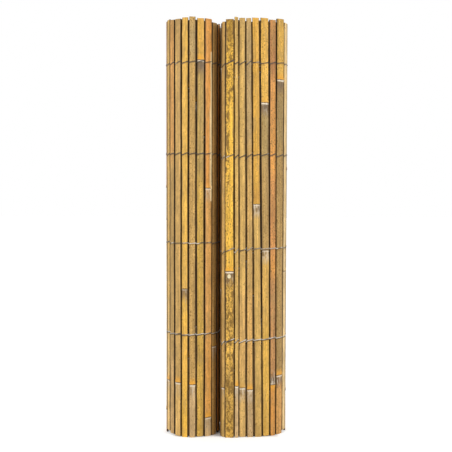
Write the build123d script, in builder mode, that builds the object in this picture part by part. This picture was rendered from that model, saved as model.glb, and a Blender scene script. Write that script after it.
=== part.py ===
from build123d import *

import os
from dataclasses import dataclass
from math import cos, degrees, radians, sin, tan

# A fence of split bamboo slats bound by rows of wire, rolled up from both ends.
# It stands on its slat ends as two scrolls side by side. All sizes are in millimetres.

# Slats
FENCE_HEIGHT = 1000.0
SLAT_WIDTH = 16.0
SLAT_THICKNESS = 4.0
SLAT_GAP = 2.8
WIDTH_SPREAD = 3.0
CULM_RADIUS = 45.0

# Joints of the cane, which swell across the face of a slat
JOINT_SPACING = 540.0
JOINT_RISE = 0.8
JOINT_HALF_HEIGHT = 6.0
JOINT_END_MARGIN = 25.0

# Ends of the slats, which are cut a little unevenly
TOP_SPREAD = 3.0
FOOT_SPREAD = 2.0
FEET_PER_RAISED_FOOT = 3

# Binding wire, a pair of strands in each row
WIRE_DIAMETER = 0.8
WIRE_CLEARANCE = 0.25
WIRE_ROWS = 4
LOWEST_ROW = 236.0
TOP_ROW_BELOW_TOP = 107.0

# Scrolls, measured on the middle of the mat at the outer turn
LEFT_RADIUS = 68.5
LEFT_TURNS = 2.75
RIGHT_HALF_WIDTH = 83.7
RIGHT_HALF_DEPTH = 63.3
RIGHT_SLANT = 9.7
RIGHT_TURNS = 3.0
SCROLL_CLEARANCE = 0.1
TURN_SLACK = 2.9
DEGREES_PER_POINT = 7.5

# Corner powers of the right scroll, where 2 is a round corner and more is a squarer one
FRONT_LEFT_POWER = 6.0
FRONT_RIGHT_POWER = 2.4
BACK_RIGHT_POWER = 2.9
BACK_LEFT_POWER = 2.25

# Mat length from the middle of the back to the slats of each front
LEFT_RUN = 195.0
RIGHT_RUN = 209.0

# Slats of the two fronts, in order along the mat from the left scroll's groove
# Each row is the width above the usual, the top above the usual, and the joint heights
LEFT_FRONT = [
    (-1.0, -7.0, []),
    (3.0, -6.0, [212.0]),
    (1.5, 1.0, [45.0, 592.0]),
    (1.5, 0.5, [906.0]),
    (-0.7, 3.5, [125.0]),
    (-1.0, 2.0, [352.0]),
    (0.5, 0.0, [128.0]),
    (-1.0, 0.0, [136.0]),
    (0.0, -0.5, [300.0, 760.0]),
]
RIGHT_FRONT = [
    (2.4, -2.5, [390.0]),
    (6.3, 5.0, [145.0, 850.0]),
    (-0.3, 0.0, [121.0]),
    (2.9, 3.0, [438.0, 798.0]),
    (0.5, 2.5, [554.0]),
    (-3.0, 1.0, [113.0]),
    (-1.8, 1.0, [118.0]),
    (-7.6, 2.5, [122.0]),
    (1.7, -2.5, [394.0]),
    (-5.9, -8.0, [118.0]),
]

# Worked out from the sizes above
WIRE_REACH = WIRE_CLEARANCE + WIRE_DIAMETER
MAT_THICKNESS = SLAT_THICKNESS + 2 * WIRE_REACH
TURN_PITCH = MAT_THICKNESS + TURN_SLACK
TURNS_TO_GROOVE = 0.75
GROOVE_REACH = LEFT_RADIUS + RIGHT_HALF_WIDTH - 2 * TURN_PITCH * TURNS_TO_GROOVE
SCROLL_SPACING = GROOVE_REACH + MAT_THICKNESS + SCROLL_CLEARANCE
ROW_SPACING = (FENCE_HEIGHT - TOP_ROW_BELOW_TOP - LOWEST_ROW) / (WIRE_ROWS - 1)
ROW_HEIGHTS = [LOWEST_ROW + row * ROW_SPACING for row in range(WIRE_ROWS)]
CROSSING_INSET = SLAT_GAP / 5
STRAIGHT_TURN = 0.02
UP = Vector(0, 0, 1)


@dataclass
class Slat:
    """One slat: where it stands on the mat line, its width, its ends and its joints."""

    middle: Vector
    along: Vector
    width: float
    foot: float
    top: float
    joints: list

    @property
    def outward(self):
        return UP.cross(self.along)

    @property
    def half_angle(self):
        return self.width / CULM_RADIUS / 2


def scatter(index):
    """An even scatter between -1 and 1 that never repeats, for uneven natural sizes."""
    golden = 0.618034
    return 2 * (index * golden % 1) - 1


def corner_power(angle):
    """How square the right scroll is in the quarter that a direction points to."""
    quarter = int(angle % 360 // 90)
    return [BACK_RIGHT_POWER, BACK_LEFT_POWER, FRONT_LEFT_POWER, FRONT_RIGHT_POWER][quarter]


def left_point(turn):
    """A point of the round left scroll, where turn 0 is at its back and the count grows inwards."""
    angle = radians(90 + 360 * turn)
    radius = LEFT_RADIUS - TURN_PITCH * turn
    return Vector(radius * cos(angle) - SCROLL_SPACING / 2, radius * sin(angle))


def right_point(turn):
    """The same for the right scroll, a slanted superellipse that turns the other way."""
    direction = 90 - 360 * turn
    power = corner_power(direction)
    across = abs(cos(radians(direction))) / (RIGHT_HALF_WIDTH - TURN_PITCH * turn)
    deep = abs(sin(radians(direction))) / (RIGHT_HALF_DEPTH - TURN_PITCH * turn)
    radius = (across**power + deep**power) ** (-1 / power)
    x = radius * cos(radians(direction))
    y = radius * sin(radians(direction))
    return Vector(x + SCROLL_SPACING / 2, y + x * tan(radians(RIGHT_SLANT)))


def scroll_points(point_at, turns):
    """Points along a scroll from its back to its inner end."""
    count = round(turns * 360 / DEGREES_PER_POINT)
    return [point_at(turns * step / count) for step in range(count + 1)]


# The mat line runs from the inner end of the left scroll, along the back, to that of the right one
left_points = scroll_points(left_point, LEFT_TURNS)[::-1]
right_points = scroll_points(right_point, RIGHT_TURNS)
with BuildLine() as mat:
    left_scroll = Spline(*left_points)
    back_run = Line(left_points[-1], right_points[0])
    right_scroll = Spline(*right_points)
mat_line = mat.wire()
back_middle = left_scroll.length + back_run.length / 2


def clear_of_wires(height):
    """Moves a joint up until no row of wire lies over its swelling."""
    for row in ROW_HEIGHTS:
        lowest = row - JOINT_HALF_HEIGHT - 1
        highest = row + 2 * WIRE_DIAMETER + JOINT_HALF_HEIGHT + 1
        if lowest < height < highest:
            return highest
    return height


def place_slat(index, start, width, rise, joints):
    """A slat whose chord starts at a length along the mat line. One foot in a few is raised."""
    near = mat_line.position_at(start, PositionMode.LENGTH)
    far = mat_line.position_at(start + width, PositionMode.LENGTH)
    raised = index % FEET_PER_RAISED_FOOT == 0
    foot = FOOT_SPREAD * (1 + scatter(index)) / 2 if raised else 0.0
    top = FENCE_HEIGHT + rise
    kept = [clear_of_wires(height) for height in joints]
    kept = [height for height in kept if height < top - JOINT_END_MARGIN]
    return Slat((near + far) / 2, (far - near).normalized(), width, foot, top, kept)


def front_slats(rows, start):
    """The slats of one front, whose widths and joints are listed."""
    slats = []
    for index, (extra_width, rise, joints) in enumerate(rows):
        width = SLAT_WIDTH + extra_width
        slats.append(place_slat(index, start, width, rise, joints))
        start += width + SLAT_GAP
    return slats


def front_length(rows):
    """Mat length of a front, with the gap after its last slat."""
    return sum(SLAT_WIDTH + row[0] + SLAT_GAP for row in rows)


def filled_slats(start, end, jointed):
    """Slats of scattered widths that fill the mat line between two lengths."""
    count = round((end - start) / (SLAT_WIDTH + SLAT_GAP))
    widths = [SLAT_WIDTH + WIDTH_SPREAD * scatter(index) for index in range(count)]
    fit = (end - start - count * SLAT_GAP) / sum(widths)
    slats = []
    for index, width in enumerate(widths):
        first_joint = JOINT_SPACING * (1.2 + scatter(3 * index)) / 2
        joints = [first_joint, first_joint + JOINT_SPACING] if jointed else []
        rise = TOP_SPREAD * scatter(2 * index + 1)
        slats.append(place_slat(index, start, width * fit, rise, joints))
        start += width * fit + SLAT_GAP
    return slats


left_front_start = back_middle - LEFT_RUN - front_length(LEFT_FRONT)
right_front_start = back_middle + RIGHT_RUN
right_front_end = right_front_start + front_length(RIGHT_FRONT)
left_inner = filled_slats(0, left_front_start, jointed=False)
left_front = front_slats(LEFT_FRONT, left_front_start)
back = filled_slats(back_middle - LEFT_RUN, right_front_start, jointed=True)
right_front = front_slats(RIGHT_FRONT, right_front_start)
right_inner = filled_slats(right_front_end, mat_line.length, jointed=False)
outer = left_front + back + right_front


def centre_of_outer_turn():
    """The middle of the box round the outer turn, in plan, which the origin is moved to."""
    faces = [slat.middle + slat.outward * (SLAT_THICKNESS / 2 + WIRE_REACH) for slat in outer]
    low = Vector(min(face.X for face in faces), min(face.Y for face in faces))
    high = Vector(max(face.X for face in faces), max(face.Y for face in faces))
    return (low + high) / 2


box_centre = centre_of_outer_turn()
for slat in left_inner + outer + right_inner:
    slat.middle = slat.middle - box_centre


def add_split_slat(slat):
    """Splits one slat from a cane: its wall, swollen at each joint, revolved through its width."""
    axis_point = slat.middle - slat.outward * (CULM_RADIUS - SLAT_THICKNESS / 2)
    first_side = slat.outward.rotate(Axis.Z, -degrees(slat.half_angle))
    wall = [(CULM_RADIUS - SLAT_THICKNESS, slat.foot), (CULM_RADIUS, slat.foot)]
    for height in slat.joints:
        wall.append((CULM_RADIUS, height - JOINT_HALF_HEIGHT))
        wall.append((CULM_RADIUS + JOINT_RISE, height))
        wall.append((CULM_RADIUS, height + JOINT_HALF_HEIGHT))
    wall += [(CULM_RADIUS, slat.top), (CULM_RADIUS - SLAT_THICKNESS, slat.top)]
    with BuildSketch(Plane(axis_point, x_dir=first_side, z_dir=first_side.cross(UP))) as section:
        with BuildLine():
            Polyline(*wall, close=True)
        make_face()
    revolve(section.sketch, Axis(axis_point, UP), revolution_arc=degrees(2 * slat.half_angle))


def add_plain_slat(slat):
    """A flat slat for the turns that the outer one hides."""
    with BuildSketch(Plane(slat.middle + UP * slat.foot, x_dir=slat.along, z_dir=UP)) as section:
        Rectangle(slat.width, SLAT_THICKNESS)
    extrude(section.sketch, amount=slat.top - slat.foot)


def strand_ends(slat, side):
    """Where a strand starts and ends its straight run over a slat's face (1) or its back (-1)."""
    if side > 0:
        offset = SLAT_THICKNESS / 2 + WIRE_CLEARANCE + WIRE_DIAMETER / 2
        radius = CULM_RADIUS
    else:
        radius = CULM_RADIUS - SLAT_THICKNESS
        edge = SLAT_THICKNESS / 2 - CULM_RADIUS + radius * cos(slat.half_angle)
        offset = edge - WIRE_CLEARANCE - WIRE_DIAMETER / 2
    half_run = slat.along * (radius * sin(slat.half_angle))
    level = slat.middle + slat.outward * offset
    return level - half_run, level + half_run


def strand_corner(leaving, heading, arriving, next_heading):
    """Where the straight runs of a strand over two neighbouring slats meet."""
    turn = heading.cross(next_heading).Z
    if abs(turn) < STRAIGHT_TURN:
        return (leaving + arriving) / 2
    return leaving + heading * ((arriving - leaving).cross(next_heading).Z / turn)


def strand_route(slats, sides):
    """The middle line of a strand that passes each slat on its given side."""
    runs = [strand_ends(slat, side) for slat, side in zip(slats, sides)]
    route = [runs[0][0]]
    for index in range(len(runs) - 1):
        leaving = runs[index][1]
        heading = slats[index].along
        arriving = runs[index + 1][0]
        next_heading = slats[index + 1].along
        if sides[index] == sides[index + 1]:
            route.append(strand_corner(leaving, heading, arriving, next_heading))
        else:
            route.append(leaving + heading * CROSSING_INSET)
            route.append(arriving - next_heading * CROSSING_INSET)
    return route + [runs[-1][1]]


def strand_edge(route, offset):
    """A strand's route moved sideways, with mitred corners."""
    headings = [(far - near).normalized() for near, far in zip(route, route[1:])]
    edge = [route[0] + UP.cross(headings[0]) * offset]
    for corner, before, after in zip(route[1:], headings, headings[1:]):
        mitre = UP.cross(before + after).normalized()
        edge.append(corner + mitre * (offset / mitre.dot(UP.cross(before))))
    return edge + [route[-1] + UP.cross(headings[-1]) * offset]


def add_strand(route, height):
    """Lays one strand of wire along its route."""
    outline = strand_edge(route, WIRE_DIAMETER / 2)
    outline += strand_edge(route, -WIRE_DIAMETER / 2)[::-1]
    with BuildSketch(Plane.XY.offset(height)) as course:
        with BuildLine():
            Polyline(*outline, close=True)
        make_face()
    extrude(course.sketch, amount=WIRE_DIAMETER)


def write(piece, name):
    """Labels a finished piece and writes it."""
    piece.part.label = name
    export_step(piece.part, f"parts/{name}.step")


os.makedirs("parts", exist_ok=True)

# Slats of the outer turn, each a piece of its own
for group, slats in {"left_front": left_front, "back": back, "right_front": right_front}.items():
    for number, slat in enumerate(slats, start=1):
        with BuildPart() as piece:
            add_split_slat(slat)
        write(piece, f"{group}_slat_{number}")

# Slats of the inner turns, two nodes of separate slats for each scroll
left_half = len(left_inner) // 2
right_half = len(right_inner) // 2
inner_turns = {
    "left_core_slats": left_inner[:left_half],
    "left_second_turn_slats": left_inner[left_half:],
    "right_second_turn_slats": right_inner[:right_half],
    "right_core_slats": right_inner[right_half:],
}
for name, slats in inner_turns.items():
    with BuildPart() as piece:
        for slat in slats:
            add_plain_slat(slat)
    write(piece, name)

# Binding wire: the strands pass each slat of the outer turn on opposite sides and cross in every gap
# The lower strand goes on into the left scroll and the upper one into the right scroll
weave = [1 if index % 2 == 0 else -1 for index in range(len(outer))]
lower_route = strand_route(left_inner + outer, [1] * len(left_inner) + weave)
opposite = [-side for side in weave]
upper_route = strand_route(outer + right_inner, opposite + [1] * len(right_inner))
for row, height in enumerate(ROW_HEIGHTS, start=1):
    with BuildPart() as piece:
        add_strand(lower_route, height)
    write(piece, f"wire_row_{row}_lower_strand")
    with BuildPart() as piece:
        add_strand(upper_route, height + WIRE_DIAMETER)
    write(piece, f"wire_row_{row}_upper_strand")

print("slats", len(outer), len(left_inner), len(right_inner), "mat length", round(mat_line.length))
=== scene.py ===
"""A split bamboo fence, rolled up from both ends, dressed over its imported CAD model."""
import math
import random
from dataclasses import dataclass, field

import bmesh
import bpy
from mathutils import Matrix, Vector, noise


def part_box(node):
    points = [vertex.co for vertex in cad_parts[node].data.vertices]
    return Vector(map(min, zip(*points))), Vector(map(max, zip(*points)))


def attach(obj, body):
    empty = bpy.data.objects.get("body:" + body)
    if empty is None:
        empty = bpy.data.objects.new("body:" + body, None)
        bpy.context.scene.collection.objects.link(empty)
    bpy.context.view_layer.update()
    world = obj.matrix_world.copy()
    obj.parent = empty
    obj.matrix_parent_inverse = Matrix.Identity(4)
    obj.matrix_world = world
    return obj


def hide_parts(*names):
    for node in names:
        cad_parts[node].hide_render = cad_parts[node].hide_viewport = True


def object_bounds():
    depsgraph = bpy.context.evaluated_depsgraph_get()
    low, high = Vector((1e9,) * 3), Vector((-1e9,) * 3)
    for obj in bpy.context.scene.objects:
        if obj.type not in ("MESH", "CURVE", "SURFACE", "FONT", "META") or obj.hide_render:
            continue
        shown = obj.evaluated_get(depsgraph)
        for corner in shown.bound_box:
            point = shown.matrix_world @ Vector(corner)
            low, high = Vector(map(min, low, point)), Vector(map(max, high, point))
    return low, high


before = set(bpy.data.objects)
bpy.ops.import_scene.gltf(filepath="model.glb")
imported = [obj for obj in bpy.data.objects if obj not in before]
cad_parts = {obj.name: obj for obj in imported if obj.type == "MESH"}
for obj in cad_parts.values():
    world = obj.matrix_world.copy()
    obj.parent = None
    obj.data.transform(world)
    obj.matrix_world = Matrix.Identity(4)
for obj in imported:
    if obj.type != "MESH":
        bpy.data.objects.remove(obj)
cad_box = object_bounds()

# Nodes of the CAD that hold the inner turns of each scroll
LEFT_TURNS = ("left_second_turn_slats", "left_core_slats")
RIGHT_TURNS = ("right_second_turn_slats", "right_core_slats")

# Section of a slat, in metres and in shares of its half width
CULM_RADIUS = 0.045
EDGE_ROUNDING = 0.0006
SHAVING = 0.0003
BACK_HOLLOW = 0.0005
BACK_SHARE = 0.95
SKIN_SHARES = (-0.95, -0.62, -0.22, 0.22, 0.62, 0.95)
PLAIN_SKIN_SHARES = (-0.9, 0.0, 0.9)

# How far a slat strays as a whole and along its split edges, and its waves per metre
SLAT_LEAN = 0.0008
SIDE_WANDER = 0.0010
SIDE_WAVES = 2.6
EDGE_WANDER = 0.0012
EDGE_WAVES = 16.0

# How ragged and how slanted a sawn end is, its waves per metre, and the share of that at the foot
END_RAGGEDNESS = 0.0007
END_SLANT = 2.4
END_WAVES = 900
FOOT_SHARE = 0.4

# How near to an end a ring is that end's own, as a share of the slat's height
END_RING = 0.001

# Rows of the noise, one for each use, so that no two slats or edges stray alike
SLAT_APART = 7.31
EDGE_APART = 9
SLANT_ROW = 3.3
LEAN_ROW = 8.8
EDGE_ROW = 5.0

# How far apart the slats lie on the patterns of the cane, across and up, in metres
PATTERN_ACROSS = 0.37
PATTERN_UP = 0.61

# A joint of the cane: its rise, and how much wider it is and how far it rises on the back, as shares
JOINT_RISE = 0.0008
JOINT_WIDENING = 0.07
JOINT_BACK_RISE = 0.6

# Ridge and scar lip of a joint: the share of the rise, the place above the joint and the spread
RIDGE = (1.0, 0.0018, 0.0036)
LIP = (0.45, -0.0011, 0.0008)

# Rings of a slat: how far apart, those that shape a joint, and how far from those and from the ends
RING_STEP = 0.040
PLAIN_RING_STEP = 0.16
JOINT_RINGS = (-0.014, -0.006, -0.0032, -0.0020, -0.0010, 0.0, 0.0014, 0.0035, 0.007, 0.016)
PLAIN_JOINT_RINGS = (-0.006, 0.0, 0.006)
RING_CLEARANCE = 0.008
END_CLEARANCE = 0.003

# Binding wire: how deep it bites, how far it passes a slat's edges, how it strays and slants over it
WIRE_ROWS = 4
WIRE_RADIUS = 0.0010
WIRE_BITE = 0.00098
WIRE_OVERHANG = 0.0004
WIRE_STRAY = 0.0014
WIRE_SLANT = 0.0024
SLANT_SPREAD = (0.5, 1.6)
CROSSING_SHARES = (-1.0, -0.5, 0.0, 0.5, 1.0)

# From the underside of a row's lower strand in the CAD up to the middle of the pair
PAIR_MIDDLE = 0.0008

# How far the front slats lean along the roll at the top and at the foot: place across the roll, shift
TOP_SHIFT = (
    (-0.014, 0.0), (-0.007, -0.0015), (0.008, -0.0024), (0.039, -0.0029),
    (0.054, -0.0040), (0.072, -0.0050), (0.090, -0.0038), (0.107, -0.0029),
    (0.124, 0.0), (0.136, 0.0008), (0.150, 0.0006),
)
FOOT_SHIFT = (
    (-0.014, 0.0), (-0.007, -0.0015), (0.008, 0.0010), (0.039, 0.0014),
    (0.054, 0.0040), (0.072, 0.0058), (0.090, 0.0053), (0.107, 0.0034),
    (0.124, 0.0014), (0.136, 0.0008), (0.150, 0.0),
)

# How much of that lean there is from the front to the middle of the roll: depth, share
LEAN_BY_DEPTH = ((-0.040, 1.0), (0.0, 0.0))

# How much higher joints and wires sit at mid height than in the CAD, as the tilted view shows them
MIDDLE_RAISE = 0.008

# The scrolls lean together where they meet in the groove, over a width and a depth
GROOVE_X = -0.0165
GROOVE_LEAN = 0.0009
GROOVE_WIDTH = 0.012
GROOVE_DEPTH = 0.03

# Cane tones, from freshly dried yellow to weathered grey and russet
TONES = {
    "straw": "#E6C385",
    "wheat": "#DAAF66",
    "tan": "#CEA55A",
    "khaki": "#C39B58",
    "olive": "#C89E45",
    "greyed": "#B38F52",
    "rosy": "#D69E55",
    "pinkish": "#CDAA76",
    "honey": "#DDAC4B",
    "amber": "#D6A243",
    "yellow": "#EDB846",
    "gold": "#E4B04A",
    "orange": "#D89545",
    "russet": "#C6894C",
    # dusky, umber and loam are the inner turns' tones, darkened as painted shade
    "dusky": "#A67F47",
    "dun": "#B88E50",
    "tobacco": "#C27A26",
    "umber": "#8E6630",
    "loam": "#684C29",
}
# Split sides face into the gaps between slats: their near-black colour is painted shade, the split wood
# itself being pale
SHADED_SPLIT_SIDE = "#2E1F0F"
BARE_SIDE = "#FBDDA2"
CANE_BACK = "#A88650"
SAWN_END = "#D8BA82"
# Tones of the inner turns, which show only through the gaps: painted shade
SHADED_INNER_TONES = ["umber", "dusky", "loam", "loam"]
PLAIN_TONES = [
    "tan", "khaki", "honey", "wheat", "olive", "greyed", "rosy", "pinkish", "straw", "russet", "yellow",
]

# Colours of the marks on the skin of the cane
WEATHERED = "#A98B58"
SPECK_BROWN = "#6E4F1C"
CLOUD_BROWN = "#6F511E"
JOINT_AMBER = "#E8A330"
BLOOM_GREY = "#D2C6B0"
BLOOM_SOIL = "#6A5846"
JOINT_WAX = "#EADBC2"
JOINT_SCAR = "#5B4322"
# Painted shade towards the split edges
EDGE_SHADE = "#80602F"
# Rust stain and painted shadow under the wire
WIRE_STAIN_AND_SHADOW = "#33230F"

# Colours of the wire and the floor
ZINC_GREY = "#D6CDC0"
# Dark brown of rust and of painted shade on the wire
RUST_AND_SHADE_BROWN = "#33261C"
PAPER_WHITE = "#E8E8E8"

# Front slats, from the foot upward: a tone for each length of cane between joints, and how speckled it is
LEFT_FRONT = [
    [("tobacco", 0.4)],
    [("dun", 0.5), ("dun", 0.5)],
    [("pinkish", 0.2), ("rosy", 0.25), ("orange", 0.2)],
    [("olive", 0.5), ("amber", 0.4)],
    [("pinkish", 0.4), ("khaki", 0.68)],
    [("yellow", 0.1), ("honey", 0.15)],
    [("wheat", 0.2), ("khaki", 0.3)],
    [("greyed", 0.3)],
    [("wheat", 0.2), ("tan", 0.35)],
]
RIGHT_FRONT = [
    [("straw", 0.1), ("straw", 0.15)],
    [("rosy", 0.6), ("greyed", 0.74), ("honey", 0.5)],
    [("orange", 0.5), ("orange", 0.7)],
    [("honey", 0.4), ("greyed", 0.6), ("gold", 0.62)],
    [("tan", 0.3), ("amber", 0.4)],
    [("pinkish", 0.45), ("khaki", 0.45)],
    [("wheat", 0.45), ("tan", 0.4)],
    [("pinkish", 0.35), ("tan", 0.4)],
    [("honey", 1.0), ("yellow", 1.0)],
    [("tan", 0.25), ("khaki", 0.3)],
]

# Joints of the front slats, from the foot up: strength of the amber, the pale wax line and the grey bloom
# A bloom from 1 to 2 is as strong as at 1, and more and more soiled
LEFT_JOINTS = [
    [],
    [(0.2, 0.6, 0.5)],
    [(1.0, 0.7, 0.5), (0.45, 0.7, 0.55)],
    [(1.0, 1.0, 2.0)],
    [(1.0, 0.9, 0.6)],
    [(0.15, 0.35, 1.5)],
    [(0.9, 0.9, 0.3)],
    [],
    [(0.9, 0.7, 0.5)],
]
RIGHT_JOINTS = [
    [(0.0, 0.15, 0.1)],
    [(0.9, 0.9, 1.4), (0.9, 1.0, 2.0)],
    [(0.9, 0.3, 1.2)],
    [(0.0, 0.5, 0.9), (0.4, 1.0, 1.5)],
    [(0.1, 0.7, 1.0)],
    [(0.9, 0.7, 0.6)],
    [(0.3, 0.8, 0.8)],
    [(0.9, 1.0, 0.6)],
    [(0.8, 1.0, 1.6)],
    [(0.1, 0.9, 0.4)],
]

# Slats that stand the other way up than the cane grew
UPSIDE_DOWN = ["right_front_slat_3"]

# Slats whose joints show at other heights than the CAD's
JOINT_HEIGHTS = {
    "left_front_slat_4": [0.8995],
    "left_front_slat_8": [],
    "left_front_slat_9": [0.129],
    "right_front_slat_2": [0.1415, 0.856],
    "right_front_slat_4": [0.444, 0.798],
}

# The slat whose pale split side shows: between which heights on its side and on its skin, and how far in
BARE_SIDE_SLAT = "left_front_slat_3"
BARE_SIDE_SPAN = (0.555, 0.935)
BARE_SKIN_SPAN = (0.590, 0.790)
BARE_SIDE_SHARE = 0.7
BARE_SKIN_SHARE = 0.5

# Slats that lie closer to a neighbour: how much wider on the right and on the left, seen from the front
CLOSER = {
    "right_front_slat_10": (0.0018, 0.0),
    "right_front_slat_9": (0.0005, 0.0017),
    "right_front_slat_8": (0.0005, 0.0005),
    "right_front_slat_7": (0.0, 0.0005),
    "right_front_slat_2": (0.0008, 0.0),
    "right_front_slat_1": (0.0006, 0.0008),
    "left_front_slat_9": (0.0008, 0.0),
    "left_front_slat_8": (0.0, 0.0008),
    "left_front_slat_3": (0.0017, 0.0),
}

# Slats whose sawn ends sit higher than in the CAD: at the foot, at the top
HIGHER_ENDS = {
    "right_front_slat_1": (0.0060, 0.0010),
    "left_front_slat_9": (0.0080, 0.0030),
    "left_front_slat_8": (0.0035, 0.0),
    "left_front_slat_1": (0.0040, 0.0),
}

# Weather stains, and a painted highlight: slat, from height, to height, colour, strength; they fade at
# their ends
STAIN_FADE = 0.02
STAINS_AND_HIGHLIGHTS = [
    ("right_front_slat_3", 0.860, 1.010, "#A56D3B", 0.80),
    ("right_front_slat_3", 0.130, 0.400, "#B88858", 0.75),
    ("right_front_slat_3", 0.400, 0.640, "#C08550", 0.60),
    ("left_front_slat_5", 0.890, 1.010, "#AE9566", 0.75),
    ("left_front_slat_4", 0.600, 0.880, "#AC9056", 0.70),
    ("left_front_slat_7", 0.985, 1.010, "#6B5438", 0.80),
    ("right_front_slat_2", 0.690, 0.840, "#A38A56", 0.70),
    ("right_front_slat_4", 0.660, 0.790, "#A68A52", 0.85),
    ("right_front_slat_5", 0.556, 0.600, "#B0743A", 0.50),
    ("right_front_slat_6", 0.700, 1.010, "#AF9466", 0.70),
    ("right_front_slat_6", 0.120, 0.360, "#DAA95E", 0.80),
    ("right_front_slat_9", 0.930, 1.010, "#8B682A", 0.60),
    ("left_front_slat_3", 0.050, 0.220, "#E8A54E", 0.70),
    ("left_front_slat_8", 0.640, 1.010, "#D39A54", 0.85),
    ("left_front_slat_8", -0.020, 0.200, "#CDA56C", 0.60),
    ("right_front_slat_1", 0.800, 1.020, "#F0CC8C", 0.80),
    # Painted highlight: the top of this slat in the groove, lit from above
    ("left_front_slat_1", 0.820, 1.040, "#EBA850", 0.90),
    ("left_front_slat_4", 0.850, 0.900, "#6B5843", 0.90),
    ("left_front_slat_6", 0.110, 0.290, "#D6A34C", 0.60),
    ("left_front_slat_9", -0.020, 0.320, "#EFC67E", 0.60),
    ("right_front_slat_4", 0.260, 0.430, "#C99F55", 0.60),
    ("right_front_slat_7", 0.130, 0.340, "#E3B168", 0.60),
]

# Clearer stretches of a speckled cane: slat, from height, to height, speckle on its left, on its right
CLEARER = [
    ("right_front_slat_9", 0.394, 0.480, 0.65, 0.45),
    ("right_front_slat_9", 0.480, 0.600, 0.80, 0.60),
    ("right_front_slat_9", 0.600, 0.780, 1.00, 0.50),
]

# Slats without listed looks: spans of their speckle and of the strengths of each joint's three marks
PLAIN_SPECKLE = (0.05, 0.6)
PLAIN_LOOKS = ((0.1, 1.0), (0.3, 1.0), (0.2, 1.0))

# Inner slats: where joints lie above the foot, and how much lower the tops are, more so by the groove
INNER_JOINTS = ((0.10, 0.42), (0.58, 0.9))
INNER_DROP = 0.004
GROOVE_DROP = 0.010
GROOVE_SIDE = 0.02

# How far each wire row, from the foot up, sits above the CAD's, and its sag over the right front slats
LEFT_RISES = (0.007, 0.005, 0.000, 0.001)
RIGHT_RISES = (-0.006, -0.010, -0.004, 0.000)
RIGHT_SAG = (0.002, 0.002, 0.002, 0.001, 0.001, 0.0, -0.002, -0.002, -0.001, -0.007)

# How steep the wire lies across the slats in each row, and over the last right front slats
ROW_STEEPNESS = (0.4, 0.5, 0.8, 1.0)
STEEP_SLATS = 5
STEEPEST = 1.5

# How dark the rust stain and painted shadow under the wire are in each row
WIRE_DIRT_AND_SHADOW = (1.0, 0.6, 0.6, 0.55)

# A bud scar: its slat, its place across and its height
BUD_SLAT = "right_front_slat_9"
BUD_PLACE = (0.0018, 0.382)
BUD_SIZE = (0.0040, 0.0010, 0.0052)
BUD_TONE = "#F1E2B6"

# The direction in which the cane stands
UP = Vector((0, 0, 1))

# Distances within which points of the CAD meshes are one, and within which they lie on the foot
MERGE_DISTANCE = 1e-6
FOOT_SLICE = 1e-4

# Steepness of a face's normal on a sawn end, and on the skin or the back
END_FACING = 0.5
SKIN_FACING = 0.6

# A distance from the joint that is clear of all its marks
NO_JOINT_NEAR = 1.0

# Edges of the cane are crisp where its faces turn by more than this
SHARP_ANGLE = math.radians(38)


@dataclass
class Slat:
    """One split slat as the CAD places it: along runs with the mat, outward faces away from the roll."""

    node: str
    middle: Vector
    along: Vector
    outward: Vector
    width: float
    thickness: float
    foot: float
    top: float
    joints: list = field(default_factory=list)
    lengths: list = field(default_factory=list)
    looks: list = field(default_factory=list)
    upright: int = 1
    rises: list = field(default_factory=list)
    number: int = 0

    def start(self):
        """The slat's edge towards the start of the mat, at the left scroll's core."""
        return self.middle - self.along * self.width / 2

    def end(self):
        """The slat's edge towards the end of the mat, at the right scroll's core."""
        return self.middle + self.along * self.width / 2

    def crown(self, across):
        """How far the round skin stands out from the slat's middle."""
        return self.thickness / 2 - across * across / (2 * CULM_RADIUS)

    def place(self, across, out, height):
        """A point on the slat in the frame of the roll."""
        return self.middle + self.along * across + self.outward * out + UP * height


def linear(hex_colour):
    """A colour written as sRGB hex, as linear red, green, blue and alpha."""
    channels = [int(hex_colour[i:i + 2], 16) / 255 for i in (1, 3, 5)]
    return [c / 12.92 if c <= 0.04045 else ((c + 0.055) / 1.055) ** 2.4 for c in channels] + [1.0]


def ramp(steps, at):
    """The value at a place between listed steps, straight in between."""
    if at <= steps[0][0]:
        return steps[0][1]
    for (a, low), (b, high) in zip(steps, steps[1:]):
        if at <= b:
            return low + (high - low) * (at - a) / (b - a)
    return steps[-1][1]


def within(span, height):
    """Whether a height lies between two others."""
    return span[0] < height < span[1]


def shifted(point):
    """A point of the roll, moved as its front slats lean and its scrolls lie together in the groove."""
    leaning = ramp(TOP_SHIFT, point.x) * point.z + ramp(FOOT_SHIFT, point.x) * (1.0 - point.z)
    drawn = ramp(LEAN_BY_DEPTH, point.y) * leaning
    off = point.x - GROOVE_X
    by_groove = math.exp(-(off / GROOVE_WIDTH) ** 2 - (point.y / GROOVE_DEPTH) ** 2)
    together = -math.copysign(GROOVE_LEAN, off) * by_groove
    raised = MIDDLE_RAISE * 4 * point.z * max(0.0, 1.0 - point.z)
    return point + Vector((drawn + together, 0, raised))


# Read where the CAD puts each slat
def loose_points(node):
    """The corner points of each separate solid in a CAD node, from a merged copy of its mesh."""
    shape = bmesh.new()
    shape.from_mesh(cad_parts[node].data)
    bmesh.ops.remove_doubles(shape, verts=shape.verts, dist=MERGE_DISTANCE)
    shape.verts.index_update()
    waiting = {vert.index: vert for vert in shape.verts}
    solids = []
    while waiting:
        first = min(waiting)
        reached = [waiting.pop(first)]
        points = []
        while reached:
            vert = reached.pop()
            points.append(vert.co.copy())
            for edge in vert.link_edges:
                other = waiting.pop(edge.other_vert(vert).index, None)
                if other:
                    reached.append(other)
        solids.append(points)
    shape.free()
    return solids


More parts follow.
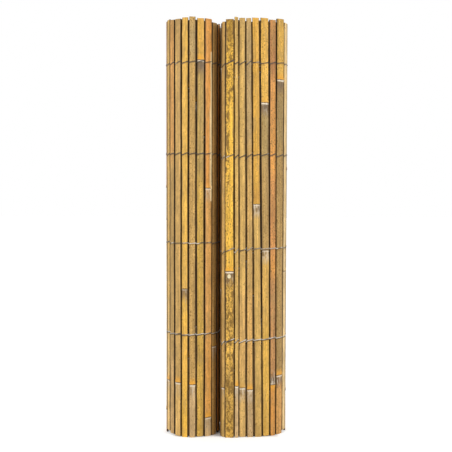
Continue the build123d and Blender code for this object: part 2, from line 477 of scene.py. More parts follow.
def read_slat(node, points, scroll_middle):
    """The slat that a CAD solid's points describe, facing away from the middle of its scroll."""
    foot = min(p.z for p in points)
    top = max(p.z for p in points)
    ring = [Vector((p.x, p.y, 0)) for p in points if p.z < foot + FOOT_SLICE]
    middle = sum(ring, Vector()) / len(ring)
    xx = sum((p.x - middle.x) ** 2 for p in ring)
    yy = sum((p.y - middle.y) ** 2 for p in ring)
    xy = sum((p.x - middle.x) * (p.y - middle.y) for p in ring)
    turn = math.atan2(2 * xy, xx - yy) / 2
    along = Vector((math.cos(turn), math.sin(turn), 0))
    outward = UP.cross(along)
    if outward.dot(middle - scroll_middle) < 0:
        along = -along
        outward = -outward
    sides = [(p - middle).dot(along) for p in ring]
    faces = [(p - middle).dot(outward) for p in ring]
    middle += along * (max(sides) + min(sides)) / 2 + outward * (max(faces) + min(faces)) / 2
    width = max(sides) - min(sides)
    thickness = max(faces) - min(faces)
    # Each joint is three levels of the CAD solid: where its swelling starts, its ridge and where it ends
    levels = sorted({round(p.z, 4) for p in points})
    return Slat(node, middle, along, outward, width, thickness, foot, top, levels[2:-1:3])


def middle_of(node):
    """The middle of a node's box, on the floor."""
    low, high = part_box(node)
    return Vector(((low.x + high.x) / 2, (low.y + high.y) / 2, 0))


left_middle = middle_of("left_core_slats")
right_middle = middle_of("right_core_slats")


def outer_slat(node):
    """The one slat of a node in the outer turn."""
    points = loose_points(node)[0]
    on_left = node.startswith("left") or (node.startswith("back") and points[0].x < 0)
    return read_slat(node, points, left_middle if on_left else right_middle)


def inner_slats(nodes, scroll_middle):
    """All slats of a scroll's inner turns."""
    return [read_slat(node, points, scroll_middle) for node in nodes for points in loose_points(node)]


def wound_inward(first, slats, near, far):
    """Inner slats in the order in which the mat winds inward from an outer one."""
    order = []
    waiting = list(slats)
    last = first
    while waiting:
        last = min(waiting, key=lambda s: (far(s) - near(last)).length)
        waiting.remove(last)
        order.append(last)
    return order


back_count = sum(name.startswith("back_slat_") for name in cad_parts)
left_front = [outer_slat(f"left_front_slat_{i + 1}") for i in range(len(LEFT_FRONT))]
back = [outer_slat(f"back_slat_{i + 1}") for i in range(back_count)]
right_front = [outer_slat(f"right_front_slat_{i + 1}") for i in range(len(RIGHT_FRONT))]
left_inner = wound_inward(left_front[0], inner_slats(LEFT_TURNS, left_middle), Slat.start, Slat.end)
right_inner = wound_inward(right_front[-1], inner_slats(RIGHT_TURNS, right_middle), Slat.end, Slat.start)
outer = left_front + back + right_front
mat = left_inner[::-1] + outer + right_inner

# Give the front slats their listed tones, joints and ends
listed_lengths = LEFT_FRONT + RIGHT_FRONT
listed_looks = LEFT_JOINTS + RIGHT_JOINTS
for slat, lengths, looks in zip(left_front + right_front, listed_lengths, listed_looks):
    slat.lengths = lengths
    slat.looks = looks
    slat.upright = -1 if slat.node in UPSIDE_DOWN else 1
    slat.joints = JOINT_HEIGHTS.get(slat.node, slat.joints)
    foot_rise, top_rise = HIGHER_ENDS.get(slat.node, (0.0, 0.0))
    slat.foot += foot_rise
    slat.top += top_rise

# Number the slats along the mat, and set how far above its level in the CAD each wire row crosses them
for number, slat in enumerate(mat):
    slat.number = number
    slat.rises = list(LEFT_RISES)
for slat, sag in zip(right_front, RIGHT_SAG):
    slat.rises = [rise + sag for rise in RIGHT_RISES]
for i, slat in enumerate(back):
    share = (i + 1) / (len(back) + 1)
    slat.rises = [left + (right - left) * share for left, right in zip(LEFT_RISES, right_front[0].rises)]
for slat in right_inner:
    slat.rises = right_front[-1].rises

# Give the other slats joints, tones and looks by chance
chance = random.Random(41)
for slat in mat:
    is_inner = slat.node in LEFT_TURNS + RIGHT_TURNS
    # Inner slats take the darkened tones, painted shade in the gaps
    choices = SHADED_INNER_TONES if is_inner else PLAIN_TONES
    if is_inner:
        slat.joints = [slat.foot + chance.uniform(*span) for span in INNER_JOINTS]
        by_groove = abs(slat.middle.x - GROOVE_X) < GROOVE_SIDE and slat.middle.y < 0
        slat.top -= GROOVE_DROP if by_groove else chance.uniform(0.0, INNER_DROP)
    while len(slat.lengths) < len(slat.joints) + 1:
        slat.lengths = slat.lengths + [(chance.choice(choices), chance.uniform(*PLAIN_SPECKLE))]
    while len(slat.looks) < len(slat.joints):
        slat.looks = slat.looks + [tuple(chance.uniform(*span) for span in PLAIN_LOOKS)]

# Where each wire row crosses the slats: its height, and each slat's own offset and slant
steep = {slat.number for slat in right_front[-STEEP_SLATS:]}
wire_rows = []
for row in range(WIRE_ROWS):
    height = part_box(f"wire_row_{row + 1}_lower_strand")[0].z + PAIR_MIDDLE
    strays = [chance.uniform(-WIRE_STRAY, WIRE_STRAY) for _ in mat]
    steepness = [STEEPEST if slat.number in steep else ROW_STEEPNESS[row] for slat in mat]
    slants = [WIRE_SLANT * chance.uniform(*SLANT_SPREAD) * share for share in steepness]
    wire_rows.append((height, strays, slants))


def wire_level(slat, row, share):
    """The height at which the strand before a slat crosses it, at a share of its half width."""
    height, strays, slants = wire_rows[row]
    return height + slat.rises[row] + strays[slat.number] - slants[slat.number] * share


# Shape one slat
def swelling(from_joint):
    """How much the cane stands out near a joint, as a share of the joint's rise."""
    return sum(most * math.exp(-((from_joint - at) / spread) ** 2) for most, at, spread in (RIDGE, LIP))


def nearest_joint(slat, height):
    """The place in the list of the joint nearest to a height, or none."""
    if not slat.joints:
        return None
    return min(range(len(slat.joints)), key=lambda i: abs(slat.joints[i] - height))


def above_joint(slat, joint, height):
    """How far a height is above a joint, as the cane grew."""
    if joint is None:
        return NO_JOINT_NEAR
    return (height - slat.joints[joint]) * slat.upright


def ring_heights(slat, fine):
    """The heights of a slat's rings: even steps, and closer ones that shape its joints."""
    step = RING_STEP if fine else PLAIN_RING_STEP
    near = [joint + d for joint in slat.joints for d in (JOINT_RINGS if fine else PLAIN_JOINT_RINGS)]
    count = max(2, round((slat.top - slat.foot) / step))
    even = [slat.foot + (slat.top - slat.foot) * i / count for i in range(count + 1)]
    clear = [z for z in even[1:-1] if all(abs(z - other) > RING_CLEARANCE for other in near)]
    inside = [z for z in near if slat.foot + END_CLEARANCE < z < slat.top - END_CLEARANCE]
    return sorted([even[0], even[-1]] + clear + inside)


def section(slat, fine):
    """The slat's cross-section: a crowned skin, rounded where it was split, and a hollow back."""
    half = slat.width / 2
    back_face = -slat.thickness / 2
    split_edge = slat.crown(half) - EDGE_ROUNDING
    shares = SKIN_SHARES if fine else PLAIN_SKIN_SHARES
    skin = [(share * half, slat.crown(share * half)) for share in shares]
    reach = half * BACK_SHARE
    inner = [(reach, back_face), (0.0, back_face + BACK_HOLLOW), (-reach, back_face)]
    return [(-half, split_edge)] + skin + [(half, split_edge)] + inner


def slat_mesh(slat, fine):
    """One slat: its section extruded up through every ring, then painted, bent and placed."""
    mesh = bmesh.new()
    outline = section(slat, fine)
    heights = ring_heights(slat, fine)
    cap = mesh.faces.new([mesh.verts.new((x, y, heights[0])) for x, y in outline])
    for low, high in zip(heights, heights[1:]):
        raised = bmesh.ops.extrude_face_region(mesh, geom=[cap])["geom"]
        lifted = [item for item in raised if isinstance(item, bmesh.types.BMVert)]
        cap = next(item for item in raised if isinstance(item, bmesh.types.BMFace))
        bmesh.ops.translate(mesh, verts=lifted, vec=(0, 0, high - low))
    bmesh.ops.recalc_face_normals(mesh, faces=mesh.faces)
    paint_slat(mesh, slat)
    bend_slat(mesh, slat)
    if slat.node == BUD_SLAT:
        add_bud(mesh, slat)
    axes = (slat.along, slat.outward, UP)
    place = Matrix([[axis[i] for axis in axes] + [slat.middle[i]] for i in range(3)] + [[0, 0, 0, 1]])
    bmesh.ops.transform(mesh, matrix=place, verts=mesh.verts)
    for vert in mesh.verts:
        vert.co = shifted(vert.co)
    return mesh


def stained(colour, stains_and_highlights, height):
    """A tone with the stains and painted highlights at a height laid over it, each faded at its ends."""
    for low, high, stain, strength in stains_and_highlights:
        from_low = min(1.0, max(0.0, (height - low) / STAIN_FADE))
        from_high = min(1.0, max(0.0, (high - height) / STAIN_FADE))
        share = strength * from_low * from_high
        colour = [a + (b - a) * share for a, b in zip(colour, linear(stain))]
    return colour


def cleared(slat, speckle, height, across):
    """How speckled a cane is at a place, with its clear stretches."""
    for node, low, high, on_left, on_right in CLEARER:
        if slat.node == node and low < height < high:
            return on_left if across > 0 else on_right
    return speckle


def paint_slat(mesh, slat):
    """Writes what the cane materials read: place on the cane, tone, and marks of joints and wires."""
    place = mesh.loops.layers.float_vector.new("cane_place")
    tone = mesh.loops.layers.float_color.new("cane_tone")
    marks = mesh.loops.layers.float_vector.new("cane_marks")
    looks = mesh.loops.layers.float_vector.new("joint_looks")
    wire_marks = mesh.loops.layers.float_vector.new("wire_marks")
    half = slat.width / 2
    pattern_across = slat.number * PATTERN_ACROSS
    pattern_up = slat.number * PATTERN_UP
    has_bare_side = slat.node == BARE_SIDE_SLAT
    stains_and_highlights = [stain[1:] for stain in STAINS_AND_HIGHLIGHTS if stain[0] == slat.node]
    for face in mesh.faces:
        middle = face.calc_center_median()
        name, speckle = slat.lengths[sum(joint < middle.z for joint in slat.joints)]
        nearest = nearest_joint(slat, middle.z)
        row = min(range(WIRE_ROWS), key=lambda r: abs(wire_level(slat, r, 0.0) - middle.z))
        sawn = abs(face.normal.z) > END_FACING
        on_bare_side = has_bare_side and not sawn and middle.x < -BARE_SIDE_SHARE * half
        on_bare_side = on_bare_side and within(BARE_SIDE_SPAN, middle.z)
        on_skin = face.normal.y > SKIN_FACING and not on_bare_side
        if sawn:
            colour = SAWN_END
        elif on_bare_side:
            colour = BARE_SIDE
        elif on_skin:
            colour = TONES[name]
        elif face.normal.y < -SKIN_FACING:
            colour = CANE_BACK
        # Split sides, facing into the gaps: painted shade
        else:
            colour = SHADED_SPLIT_SIDE
        face.material_index = 0 if on_skin else 1
        face.smooth = True
        for loop in face.loops:
            co = loop.vert.co
            bared = has_bare_side and co.x < -BARE_SKIN_SHARE * half and within(BARE_SKIN_SPAN, co.z)
            edge = 0.0 if bared else abs(co.x) / half
            if bared:
                loop[tone] = linear(BARE_SIDE)
            elif on_skin:
                loop[tone] = stained(linear(colour), stains_and_highlights, co.z)
            else:
                loop[tone] = linear(colour)
            speckled = cleared(slat, speckle, middle.z, co.x)
            above_wire = co.z - wire_level(slat, row, co.x / half)
            loop[place] = Vector((co.x + pattern_across, co.y, co.z + pattern_up))
            loop[marks] = Vector((above_joint(slat, nearest, co.z), speckled, edge))
            loop[looks] = Vector(slat.looks[nearest] if slat.looks else (0.0, 0.0, 0.0))
            loop[wire_marks] = Vector((above_wire, WIRE_DIRT_AND_SHADOW[row], 0.0))


def add_bud(mesh, slat):
    """Sets a small pale bud scar on the skin below a joint."""
    across, height = BUD_PLACE
    place = Matrix.Translation((across, slat.crown(across), height)) @ Matrix.Diagonal((*BUD_SIZE, 1))
    bud = bmesh.ops.create_uvsphere(mesh, u_segments=12, v_segments=8, radius=1.0, matrix=place)["verts"]
    tone = mesh.loops.layers.float_color["cane_tone"]
    marks = mesh.loops.layers.float_vector["cane_marks"]
    for face in {face for vert in bud for face in vert.link_faces}:
        face.material_index = 1
        face.smooth = True
        for loop in face.loops:
            loop[tone] = linear(BUD_TONE)
            loop[marks] = Vector((NO_JOINT_NEAR, 0.0, 0.0))


def bend_slat(mesh, slat):
    """Swells the joints, lets the split edges wander, and leaves the sawn ends a little ragged."""
    seed = slat.number * SLAT_APART
    height = slat.top - slat.foot
    slant = END_SLANT * noise.noise(Vector((seed, SLANT_ROW, 0.0)))
    lean = SLAT_LEAN * noise.noise(Vector((seed, LEAN_ROW, 0.0)))
    wider = CLOSER.get(slat.node, (0.0, 0.0))
    for vert in mesh.verts:
        co = vert.co
        share = (co.z - slat.foot) / height
        rise = swelling(above_joint(slat, nearest_joint(slat, co.z), co.z))
        edge = co.x / slat.width
        drift = SIDE_WANDER * noise.noise(Vector((seed, co.z * SIDE_WAVES, 0.0))) + lean * (1 - 2 * share)
        along_edge = noise.noise(Vector((seed + EDGE_APART * edge, co.z * EDGE_WAVES, EDGE_ROW)))
        wander = EDGE_WANDER * edge * along_edge
        co.x += drift + wander + co.x * JOINT_WIDENING * rise - math.copysign(SHAVING, co.x)
        co.x += 2 * edge * wider[0 if edge < 0 else 1]
        co.y += JOINT_RISE * rise * (1.0 if co.y > 0 else -JOINT_BACK_RISE)
        rough = noise.noise(Vector((seed, co.x * END_WAVES, co.y * END_WAVES)))
        ragged = END_RAGGEDNESS * (1.0 + slant * edge + rough)
        if share > 1.0 - END_RING:
            co.z -= ragged
        if share < END_RING:
            co.z += max(0.0, ragged * FOOT_SHARE)


def in_scene(name, data):
    """A new object in the scene, at the origin."""
    thing = bpy.data.objects.new(name, data)
    bpy.context.scene.collection.objects.link(thing)
    return thing


def mesh_data(name, mesh):
    """A finished bmesh as mesh data."""
    data = bpy.data.meshes.new(name)
    mesh.to_mesh(data)
    mesh.free()
    return data


def settle(name, data, materials, node):
    """Makes a piece that stands for a CAD node, with its materials."""
    for material in materials:
        data.materials.append(material)
    piece = in_scene(name, data)
    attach(piece, "root")
    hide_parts(node)


def settle_canes(name, mesh, node):
    """Makes the bmesh of one or more slats a piece, with crisp sawn and split edges."""
    data = mesh_data(name, mesh)
    data.set_sharp_from_angle(angle=SHARP_ANGLE)
    settle(name, data, [skin, wood], node)


# Materials
def new_material(name):
    """A new material and its empty node tree."""
    material = bpy.data.materials.new(name)
    material.use_nodes = True
    material.node_tree.nodes.clear()
    return material, material.node_tree


def add(tree, kind, inputs=None, **settings):
    """Adds a node with its settings, and links or sets its inputs."""
    node = tree.nodes.new(kind)
    for name, value in settings.items():
        setattr(node, name, value)
    for key, value in (inputs or {}).items():
        if isinstance(value, bpy.types.NodeSocket):
            tree.links.new(value, node.inputs[key])
        else:
            node.inputs[key].default_value = value
    return node


def cane_patterns(tree, rows):
    """The patterns of a cane finish, each drawn to its scale by the place on the cane."""
    place = add(tree, "ShaderNodeAttribute", attribute_name="cane_place").outputs["Vector"]
    patterns = []
    for scale, detail in rows:
        drawn = add(tree, "ShaderNodeMapping", {0: place, "Scale": scale}).outputs[0]
        cloudy = add(tree, "ShaderNodeTexNoise", {0: drawn, "Scale": 1.0, "Detail": detail})
        patterns.append(cloudy.outputs[0])
    return patterns


def cane_skin():
    """Bamboo cane skin: a hard waxy rind with fine fibres along it, specks, streaks and joint scars."""
    material, tree = new_material("bamboo cane skin")
    tone = add(tree, "ShaderNodeAttribute", attribute_name="cane_tone").outputs["Color"]
    marks = add(tree, "ShaderNodeAttribute", attribute_name="cane_marks").outputs["Vector"]
    looks = add(tree, "ShaderNodeAttribute", attribute_name="joint_looks").outputs["Vector"]
    wire_marks = add(tree, "ShaderNodeAttribute", attribute_name="wire_marks").outputs["Vector"]
    from_joint, speckle, edge = add(tree, "ShaderNodeSeparateXYZ", {0: marks}).outputs
    amber_share, wax_share, bloom_share = add(tree, "ShaderNodeSeparateXYZ", {0: looks}).outputs
    from_wire, dirt_and_shadow, _ = add(tree, "ShaderNodeSeparateXYZ", {0: wire_marks}).outputs

    # Repeats per metre across, deep and along the cane, from real widths and lengths, and the detail
    fibre, streak, blotch, mottle, speck, drift, cloud = cane_patterns(tree, (
        ((1400, 1400, 28), 3.0),  # fibres, 0.7 by 36 mm
        ((330, 330, 7), 3.0),  # streaks, 3 by 140 mm
        ((110, 110, 26), 4.0),  # blotches, 9 by 38 mm
        ((250, 250, 80), 3.0),  # mottling, 4 by 12 mm
        ((430, 430, 210), 2.0),  # specks, 2.4 by 5 mm
        ((40, 40, 13), 2.0),  # slow drift of the tone, 25 by 77 mm
        ((170, 170, 75), 4.0),  # clouds, 6 by 13 mm
    ))

    # Light and dark streaks along the rind
    shade = add(tree, "ShaderNodeMapRange", {0: streak, 1: 0.3, 2: 0.7, 3: 0.74, 4: 1.20}).outputs[0]
    fine = add(tree, "ShaderNodeMapRange", {0: fibre, 1: 0.3, 2: 0.7, 3: 0.90, 4: 1.08}).outputs[0]
    shade = add(tree, "ShaderNodeMath", {0: shade, 1: fine}, operation="MULTIPLY").outputs[0]
    dapple = add(tree, "ShaderNodeMapRange", {0: mottle, 1: 0.3, 2: 0.7, 3: 0.79, 4: 1.19}).outputs[0]
    shade = add(tree, "ShaderNodeMath", {0: shade, 1: dapple}, operation="MULTIPLY").outputs[0]
    slow = add(tree, "ShaderNodeMapRange", {0: drift, 1: 0.35, 2: 0.65, 3: 0.90, 4: 1.10}).outputs[0]
    shade = add(tree, "ShaderNodeMath", {0: shade, 1: slow}, operation="MULTIPLY").outputs[0]
    colour = add(tree, "ShaderNodeVectorMath", {0: tone, 3: shade}, operation="SCALE").outputs[0]

    # Weathered grey-green blotches
    greyness = add(tree, "ShaderNodeMapRange", {0: blotch, 1: 0.52, 2: 0.68, 3: 0.0, 4: 0.45}).outputs[0]
    colour = add(tree, "ShaderNodeMix", {0: greyness, 6: colour, 7: linear(WEATHERED)},
                 data_type="RGBA").outputs[2]

    # Olive-brown specks, thick on the most speckled canes
    reach = add(tree, "ShaderNodeMapRange", {0: speckle, 1: 0.0, 2: 1.0, 3: 0.66, 4: 0.50}).outputs[0]
    cluster = add(tree, "ShaderNodeMapRange", {0: mottle, 1: 0.3, 2: 0.7, 3: 0.06, 4: -0.06}).outputs[0]
    reach = add(tree, "ShaderNodeMath", {0: reach, 1: cluster}, operation="ADD").outputs[0]
    full = add(tree, "ShaderNodeMath", {0: reach, 1: 0.09}, operation="ADD").outputs[0]
    specks = add(tree, "ShaderNodeMapRange", {0: speck, 1: reach, 2: full, 3: 0.0, 4: 0.75}).outputs[0]
    colour = add(tree, "ShaderNodeMix", {0: specks, 6: colour, 7: linear(SPECK_BROWN)},
                 data_type="RGBA").outputs[2]

    # Broad brown clouds and clear yellow between them on the most speckled canes
    cloudy = add(tree, "ShaderNodeMapRange", {0: speckle, 1: 0.7, 2: 1.0, 3: 0.0, 4: 0.8}).outputs[0]
    clouds = add(tree, "ShaderNodeMapRange", {0: cloud, 1: 0.48, 2: 0.60, 3: 0.0, 4: 1.0}).outputs[0]
    cloudy = add(tree, "ShaderNodeMath", {0: cloudy, 1: clouds}, operation="MULTIPLY").outputs[0]
    colour = add(tree, "ShaderNodeMix", {0: cloudy, 6: colour, 7: linear(CLOUD_BROWN)},
                 data_type="RGBA").outputs[2]

    # Amber on the cane above a joint
    ragged = add(tree, "ShaderNodeMapRange", {0: speck, 1: 0.3, 2: 0.7, 3: -0.0009, 4: 0.0009}).outputs[0]
    near = add(tree, "ShaderNodeMath", {0: from_joint, 1: ragged}, operation="ADD").outputs[0]
    above = add(tree, "ShaderNodeMapRange", {0: near, 1: 0.0, 2: 0.0008, 3: 0.0, 4: 1.0}).outputs[0]
    amber = add(tree, "ShaderNodeMapRange", {0: near, 1: 0.004, 2: 0.017, 3: 0.80, 4: 0.0}).outputs[0]
    amber = add(tree, "ShaderNodeMath", {0: amber, 1: amber_share}, operation="MULTIPLY").outputs[0]
    amber = add(tree, "ShaderNodeMath", {0: above, 1: amber}, operation="MULTIPLY").outputs[0]
    colour = add(tree, "ShaderNodeMix", {0: amber, 6: colour, 7: linear(JOINT_AMBER)},
                 data_type="RGBA").outputs[2]

    # A grey bloom below it, patchy and more or less soiled
    below = add(tree, "ShaderNodeMapRange", {0: near, 1: 0.0, 2: -0.0008, 3: 0.0, 4: 1.0}).outputs[0]
    bloom = add(tree, "ShaderNodeMapRange", {0: near, 1: -0.014, 2: -0.038, 3: 0.90, 4: 0.0}).outputs[0]
    strength = add(tree, "ShaderNodeMath", {0: bloom_share, 1: 1.0}, operation="MINIMUM").outputs[0]
    bloom = add(tree, "ShaderNodeMath", {0: bloom, 1: strength}, operation="MULTIPLY").outputs[0]
    patchy = add(tree, "ShaderNodeMapRange", {0: blotch, 1: 0.35, 2: 0.6, 3: 0.75, 4: 1.0}).outputs[0]
    bloom = add(tree, "ShaderNodeMath", {0: bloom, 1: patchy}, operation="MULTIPLY").outputs[0]
    bloom = add(tree, "ShaderNodeMath", {0: bloom, 1: below}, operation="MULTIPLY").outputs[0]
    soil = add(tree, "ShaderNodeMapRange", {0: bloom_share, 1: 1.0, 2: 2.0, 3: 0.0, 4: 0.30}).outputs[0]
    soil = add(tree, "ShaderNodeMath", {0: soil, 1: mottle}, operation="ADD").outputs[0]
    dirt = add(tree, "ShaderNodeMapRange", {0: soil, 1: 0.40, 2: 0.60, 3: 0.0, 4: 1.0}).outputs[0]
    grime = add(tree, "ShaderNodeMix", {0: dirt, 6: linear(BLOOM_GREY), 7: linear(BLOOM_SOIL)},
                data_type="RGBA").outputs[2]
    colour = add(tree, "ShaderNodeMix", {0: bloom, 6: colour, 7: grime}, data_type="RGBA").outputs[2]

    # A pale waxy line under the joint, and its dark scar line
    wax = add(tree, "ShaderNodeMapRange", {0: near, 1: -0.0036, 2: -0.0054, 3: 0.95, 4: 0.0}).outputs[0]
    wax = add(tree, "ShaderNodeMath", {0: wax, 1: wax_share}, operation="MULTIPLY").outputs[0]
    wax = add(tree, "ShaderNodeMath", {0: wax, 1: below}, operation="MULTIPLY").outputs[0]
    colour = add(tree, "ShaderNodeMix", {0: wax, 6: colour, 7: linear(JOINT_WAX)},
                 data_type="RGBA").outputs[2]
    far_off = add(tree, "ShaderNodeMath", {0: near, 1: 0.0002}, operation="ADD").outputs[0]
    far_off = add(tree, "ShaderNodeMath", {0: far_off}, operation="ABSOLUTE").outputs[0]
    scar = add(tree, "ShaderNodeMapRange", {0: far_off, 1: 0.0007, 2: 0.0014, 3: 0.85, 4: 0.0}).outputs[0]
    colour = add(tree, "ShaderNodeMix", {0: scar, 6: colour, 7: linear(JOINT_SCAR)},
                 data_type="RGBA").outputs[2]

    # Darker towards the split edges, more in some places than in others: painted shade where the rind
    # rounds off into the gaps
    edge_shade = add(tree, "ShaderNodeMapRange", {0: edge, 1: 0.62, 2: 1.0, 3: 0.0, 4: 1.0}).outputs[0]
    uneven = add(tree, "ShaderNodeMapRange", {0: blotch, 1: 0.35, 2: 0.65, 3: 0.15, 4: 0.75}).outputs[0]
    edge_shade = add(tree, "ShaderNodeMath", {0: edge_shade, 1: uneven}, operation="MULTIPLY").outputs[0]
    colour = add(tree, "ShaderNodeMix", {0: edge_shade, 6: colour, 7: linear(EDGE_SHADE)},
                 data_type="RGBA").outputs[2]

    # Rust and dirt from the wire, and painted shadow, in a line on the cane under it
    under = add(tree, "ShaderNodeMapRange",
                {0: from_wire, 1: -0.0046, 2: -0.0014, 3: 0.0, 4: 0.95}).outputs[0]
    over = add(tree, "ShaderNodeMapRange",
               {0: from_wire, 1: 0.0002, 2: 0.0016, 3: 1.0, 4: 0.0}).outputs[0]
    rust_and_shadow = add(tree, "ShaderNodeMath", {0: under, 1: over}, operation="MULTIPLY").outputs[0]
    rust_and_shadow = add(tree, "ShaderNodeMath", {0: rust_and_shadow, 1: dirt_and_shadow}, operation="MULTIPLY").outputs[0]
    colour = add(tree, "ShaderNodeMix", {0: rust_and_shadow, 6: colour, 7: linear(WIRE_STAIN_AND_SHADOW)},
                 data_type="RGBA").outputs[2]

    # Waxy where it is clean, duller on the blotches, with fibres and streaks in low relief
    gloss = add(tree, "ShaderNodeMapRange", {0: blotch, 1: 0.3, 2: 0.7, 3: 0.42, 4: 0.62}).outputs[0]
    relief = add(tree, "ShaderNodeMath", {0: fibre, 1: streak}, operation="ADD").outputs[0]
    bump = add(tree, "ShaderNodeBump",
               {"Strength": 0.35, "Distance": 0.0003, "Height": relief}).outputs[0]
    rind = add(tree, "ShaderNodeBsdfPrincipled",
               {"Base Color": colour, "Roughness": gloss, "Normal": bump, "Specular IOR Level": 0.3})
    add(tree, "ShaderNodeOutputMaterial", {0: rind.outputs[0]})
    return material


def split_wood():
    """Split bamboo wood: pale dry fibres torn lengthwise, rough, with darker strands and no wax."""
    material, tree = new_material("split bamboo wood")
    tone = add(tree, "ShaderNodeAttribute", attribute_name="cane_tone").outputs["Color"]

    # Repeats per metre and detail, as for the skin; the strands show end on as dots in the sawn ends
    strand, broad = cane_patterns(tree, (
        ((1900, 1900, 34), 3.0),  # strands, 0.5 by 30 mm
        ((420, 420, 9), 3.0),  # broad stains, 2.4 by 110 mm
    ))
    fibrous = add(tree, "ShaderNodeMapRange", {0: strand, 1: 0.35, 2: 0.66, 3: 1.08, 4: 0.70}).outputs[0]
    stain = add(tree, "ShaderNodeMapRange", {0: broad, 1: 0.40, 2: 0.72, 3: 1.06, 4: 0.74}).outputs[0]
    shade = add(tree, "ShaderNodeMath", {0: fibrous, 1: stain}, operation="MULTIPLY").outputs[0]
    colour = add(tree, "ShaderNodeVectorMath", {0: tone, 3: shade}, operation="SCALE").outputs[0]
    dryness = add(tree, "ShaderNodeMapRange", {0: strand, 1: 0.3, 2: 0.7, 3: 0.7, 4: 0.9}).outputs[0]
    bump = add(tree, "ShaderNodeBump", {"Strength": 0.7, "Distance": 0.0004, "Height": strand}).outputs[0]
    torn = add(tree, "ShaderNodeBsdfPrincipled",
               {"Base Color": colour, "Roughness": dryness, "Normal": bump, "IOR": 1.5})
    add(tree, "ShaderNodeOutputMaterial", {0: torn.outputs[0]})
    return material


def zinc_wire():
    """Galvanised steel wire: dull grey zinc with dark brown patches, part rust and part painted shade
    between painted glints, painted darker on the higher rows.
    """
    material, tree = new_material("galvanised steel wire")
    place = add(tree, "ShaderNodeTexCoord").outputs["Object"]

    # Patches of rust and painted shade are about 20 mm long
    patch = add(tree, "ShaderNodeTexNoise", {0: place, "Scale": 50.0, "Detail": 4.0}).outputs[0]
    height = add(tree, "ShaderNodeSeparateXYZ", {0: place}).outputs[2]
    # Painted light: darker on the higher rows and paler on the lower, as the glints fall on the wire
    shade_by_height = add(tree, "ShaderNodeMapRange", {0: height, 1: 0.22, 2: 0.62, 3: -0.09, 4: 0.15}).outputs[0]
    spread = add(tree, "ShaderNodeMath", {0: patch, 1: shade_by_height}, operation="ADD").outputs[0]
    rust_and_shade = add(tree, "ShaderNodeMapRange", {0: spread, 1: 0.42, 2: 0.58, 3: 0.0, 4: 0.95}).outputs[0]
    colour = add(tree, "ShaderNodeMix", {0: rust_and_shade, 6: linear(ZINC_GREY), 7: linear(RUST_AND_SHADE_BROWN)},
                 data_type="RGBA").outputs[2]
    sheen = add(tree, "ShaderNodeMapRange", {0: rust_and_shade, 1: 0.0, 2: 0.9, 3: 0.55, 4: 0.05}).outputs[0]
    rough = add(tree, "ShaderNodeMapRange", {0: patch, 1: 0.3, 2: 0.7, 3: 0.40, 4: 0.65}).outputs[0]
    bump = add(tree, "ShaderNodeBump", {"Strength": 0.3, "Distance": 0.0001, "Height": patch}).outputs[0]
    metal = add(tree, "ShaderNodeBsdfPrincipled",
                {"Base Color": colour, "Metallic": sheen, "Roughness": rough, "Normal": bump})
    add(tree, "ShaderNodeOutputMaterial", {0: metal.outputs[0]})
    return material


def shows_studio(tree):
    """Whether a ray shows the studio itself: straight to the camera, or in metal or glass."""
    path = add(tree, "ShaderNodeLightPath").outputs
    seen = add(tree, "ShaderNodeMath", {0: path["Is Camera Ray"], 1: path["Is Glossy Ray"]},
               operation="MAXIMUM").outputs[0]
    return add(tree, "ShaderNodeMath", {0: seen, 1: path["Is Transmission Ray"]},
               operation="MAXIMUM").outputs[0]


def studio_paper():
    """White studio paper: matte, keeping the roll's shadow, and lifted to white away from the roll."""
    material, tree = new_material("white studio paper")
    spot = add(tree, "ShaderNodeTexCoord").outputs["Object"]
    away = add(tree, "ShaderNodeVectorMath", {0: spot}, operation="LENGTH").outputs["Value"]
    lift = add(tree, "ShaderNodeMapRange", {0: away, 1: 0.3, 2: 3.0, 3: 0.40, 4: 0.62}).outputs[0]
    lift = add(tree, "ShaderNodeMath", {0: shows_studio(tree), 1: lift}, operation="MULTIPLY").outputs[0]

    # The paper under the roll isn't lifted: a painted shadow, cut to the roll's footprint, over its real
    # shadow in the groove and the gaps at the foot
    sideways, deep, _ = add(tree, "ShaderNodeSeparateXYZ", {0: spot}).outputs
    sideways = add(tree, "ShaderNodeMath", {0: sideways}, operation="ABSOLUTE").outputs[0]
    deep = add(tree, "ShaderNodeMath", {0: deep}, operation="ABSOLUTE").outputs[0]
    beside = add(tree, "ShaderNodeMapRange", {0: sideways, 1: 0.115, 2: 0.130, 3: 0.0, 4: 1.0}).outputs[0]
    before = add(tree, "ShaderNodeMapRange", {0: deep, 1: 0.050, 2: 0.064, 3: 0.0, 4: 1.0}).outputs[0]
    uncovered = add(tree, "ShaderNodeMath", {0: beside, 1: before}, operation="MAXIMUM").outputs[0]
    lift = add(tree, "ShaderNodeMath", {0: lift, 1: uncovered}, operation="MULTIPLY").outputs[0]
    matte = add(tree, "ShaderNodeBsdfDiffuse", {"Color": linear(PAPER_WHITE)}).outputs[0]
    glow = add(tree, "ShaderNodeEmission", {"Color": (1, 1, 1, 1), "Strength": lift}).outputs[0]
    both = add(tree, "ShaderNodeAddShader", {0: matte, 1: glow}).outputs[0]
    add(tree, "ShaderNodeOutputMaterial", {0: both})
    return material


skin = cane_skin()
wood = split_wood()
zinc = zinc_wire()

# Build the outer slats, one piece for each CAD slat
for slat in outer:
    settle_canes(slat.node.replace("slat", "cane"), slat_mesh(slat, True), slat.node)

# Build the slats of the inner turns, one piece for each turn
for node in LEFT_TURNS + RIGHT_TURNS:
    turn = bmesh.new()
    for slat in left_inner + right_inner:
        if slat.node == node:
            carrier = mesh_data("one slat", slat_mesh(slat, False))
            turn.from_mesh(carrier)
            bpy.data.meshes.remove(carrier)
    settle_canes(node.replace("slats", "canes"), turn, node)


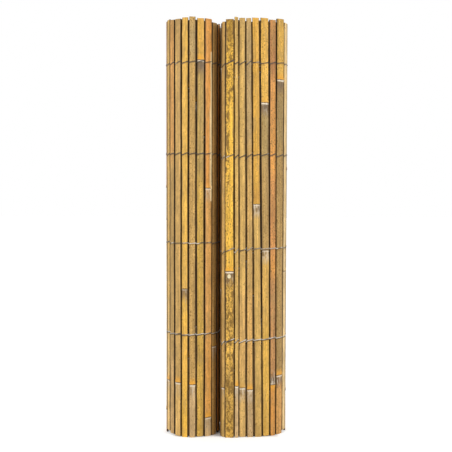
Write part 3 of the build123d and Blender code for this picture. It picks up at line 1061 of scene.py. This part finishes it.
# Bind the slats with two wire strands in each row
def strand_points(row, first_side):
    """A strand's course: before one slat, behind the next, and across its partner in each gap."""
    points = []
    for slat in mat:
        before = (slat.number + first_side) % 2 == 0
        half = slat.width / 2 + WIRE_OVERHANG
        for share in CROSSING_SHARES:
            across = share * half
            if before:
                out = slat.crown(across) + WIRE_RADIUS - WIRE_BITE
                height = wire_level(slat, row, share)
            else:
                out = -slat.thickness / 2 - WIRE_RADIUS + WIRE_BITE
                height = wire_level(slat, row, -share)
            points.append(shifted(slat.place(across, out, height)))
    return points


def wire_strand(name, points, node):
    """One strand as a round wire along a smooth line."""
    line = bpy.data.curves.new(name, "CURVE")
    line.dimensions = "3D"
    line.bevel_depth = WIRE_RADIUS
    line.bevel_resolution = 1
    line.resolution_u = 2
    line.use_fill_caps = True
    spline = line.splines.new("NURBS")
    spline.points.add(len(points) - 1)
    for knot, point in zip(spline.points, points):
        knot.co = (*point, 1.0)
    spline.order_u = 3
    spline.use_endpoint_u = True
    settle(name, line, [zinc], node)


for row in range(WIRE_ROWS):
    for side, strand in enumerate(("lower", "upper")):
        node = f"wire_row_{row + 1}_{strand}_strand"
        wire_strand(f"binding_wire_{row + 1}_{strand}", strand_points(row, side), node)

# Floor
FLOOR_REACH = 15.0
floor_mesh = bmesh.new()
bmesh.ops.create_grid(floor_mesh, x_segments=1, y_segments=1, size=FLOOR_REACH)
floor = in_scene("studio_floor", mesh_data("studio_floor", floor_mesh))
floor.data.materials.append(studio_paper())

# Light: a white surround, dimmer as light than as it shows, and three soft lamps
world = bpy.data.worlds.new("white studio")
bpy.context.scene.world = world
world.use_nodes = True
tree = world.node_tree
tree.nodes.clear()
shown = shows_studio(tree)
level = add(tree, "ShaderNodeMapRange", {0: shown, 1: 0.0, 2: 1.0, 3: 0.62, 4: 1.0}).outputs[0]
sky = add(tree, "ShaderNodeBackground", {"Color": (1, 1, 1, 1), "Strength": level}).outputs[0]
add(tree, "ShaderNodeOutputWorld", {0: sky})

ROLL_MIDDLE = Vector((0, 0, 0.55))


def soft_lamp(name, place, size, power):
    """A large soft lamp turned towards the middle of the roll."""
    light = bpy.data.lights.new(name, "AREA")
    light.shape = "DISK"
    light.size = size
    light.energy = power
    lamp = in_scene(name, light)
    lamp.location = place
    lamp.rotation_euler = (ROLL_MIDDLE - Vector(place)).to_track_quat("-Z", "Y").to_euler()


soft_lamp("left lamp", place=(-2.0, -1.7, 1.3), size=1.2, power=29.0)
soft_lamp("right lamp", place=(2.0, -1.7, 1.3), size=1.2, power=29.0)
soft_lamp("back lamp", place=(0.3, 2.4, 2.2), size=1.4, power=20.0)

# Camera, as far from the roll's front and tilted as the photo shows it
PICTURE_PIXELS = 452
FOCAL_PIXELS = 843.0
FRONT_DISTANCE = 2.0
CAMERA_X = -0.0019
CAMERA_HEIGHT = 0.600
CAMERA_TILT = math.radians(2.58)
CAMERA_ROLL = math.radians(-0.15)
lens = bpy.data.cameras.new("camera")
lens.sensor_width = 36.0
lens.lens = lens.sensor_width * FOCAL_PIXELS / PICTURE_PIXELS
camera = in_scene("camera", lens)
camera.location = (CAMERA_X, cad_box[0][1] - FRONT_DISTANCE, CAMERA_HEIGHT)
camera.rotation_euler = (math.radians(90) - CAMERA_TILT, CAMERA_ROLL, 0)
bpy.context.scene.camera = camera
bpy.context.scene.view_settings.view_transform = "Standard"

bpy.context.view_layer.update()
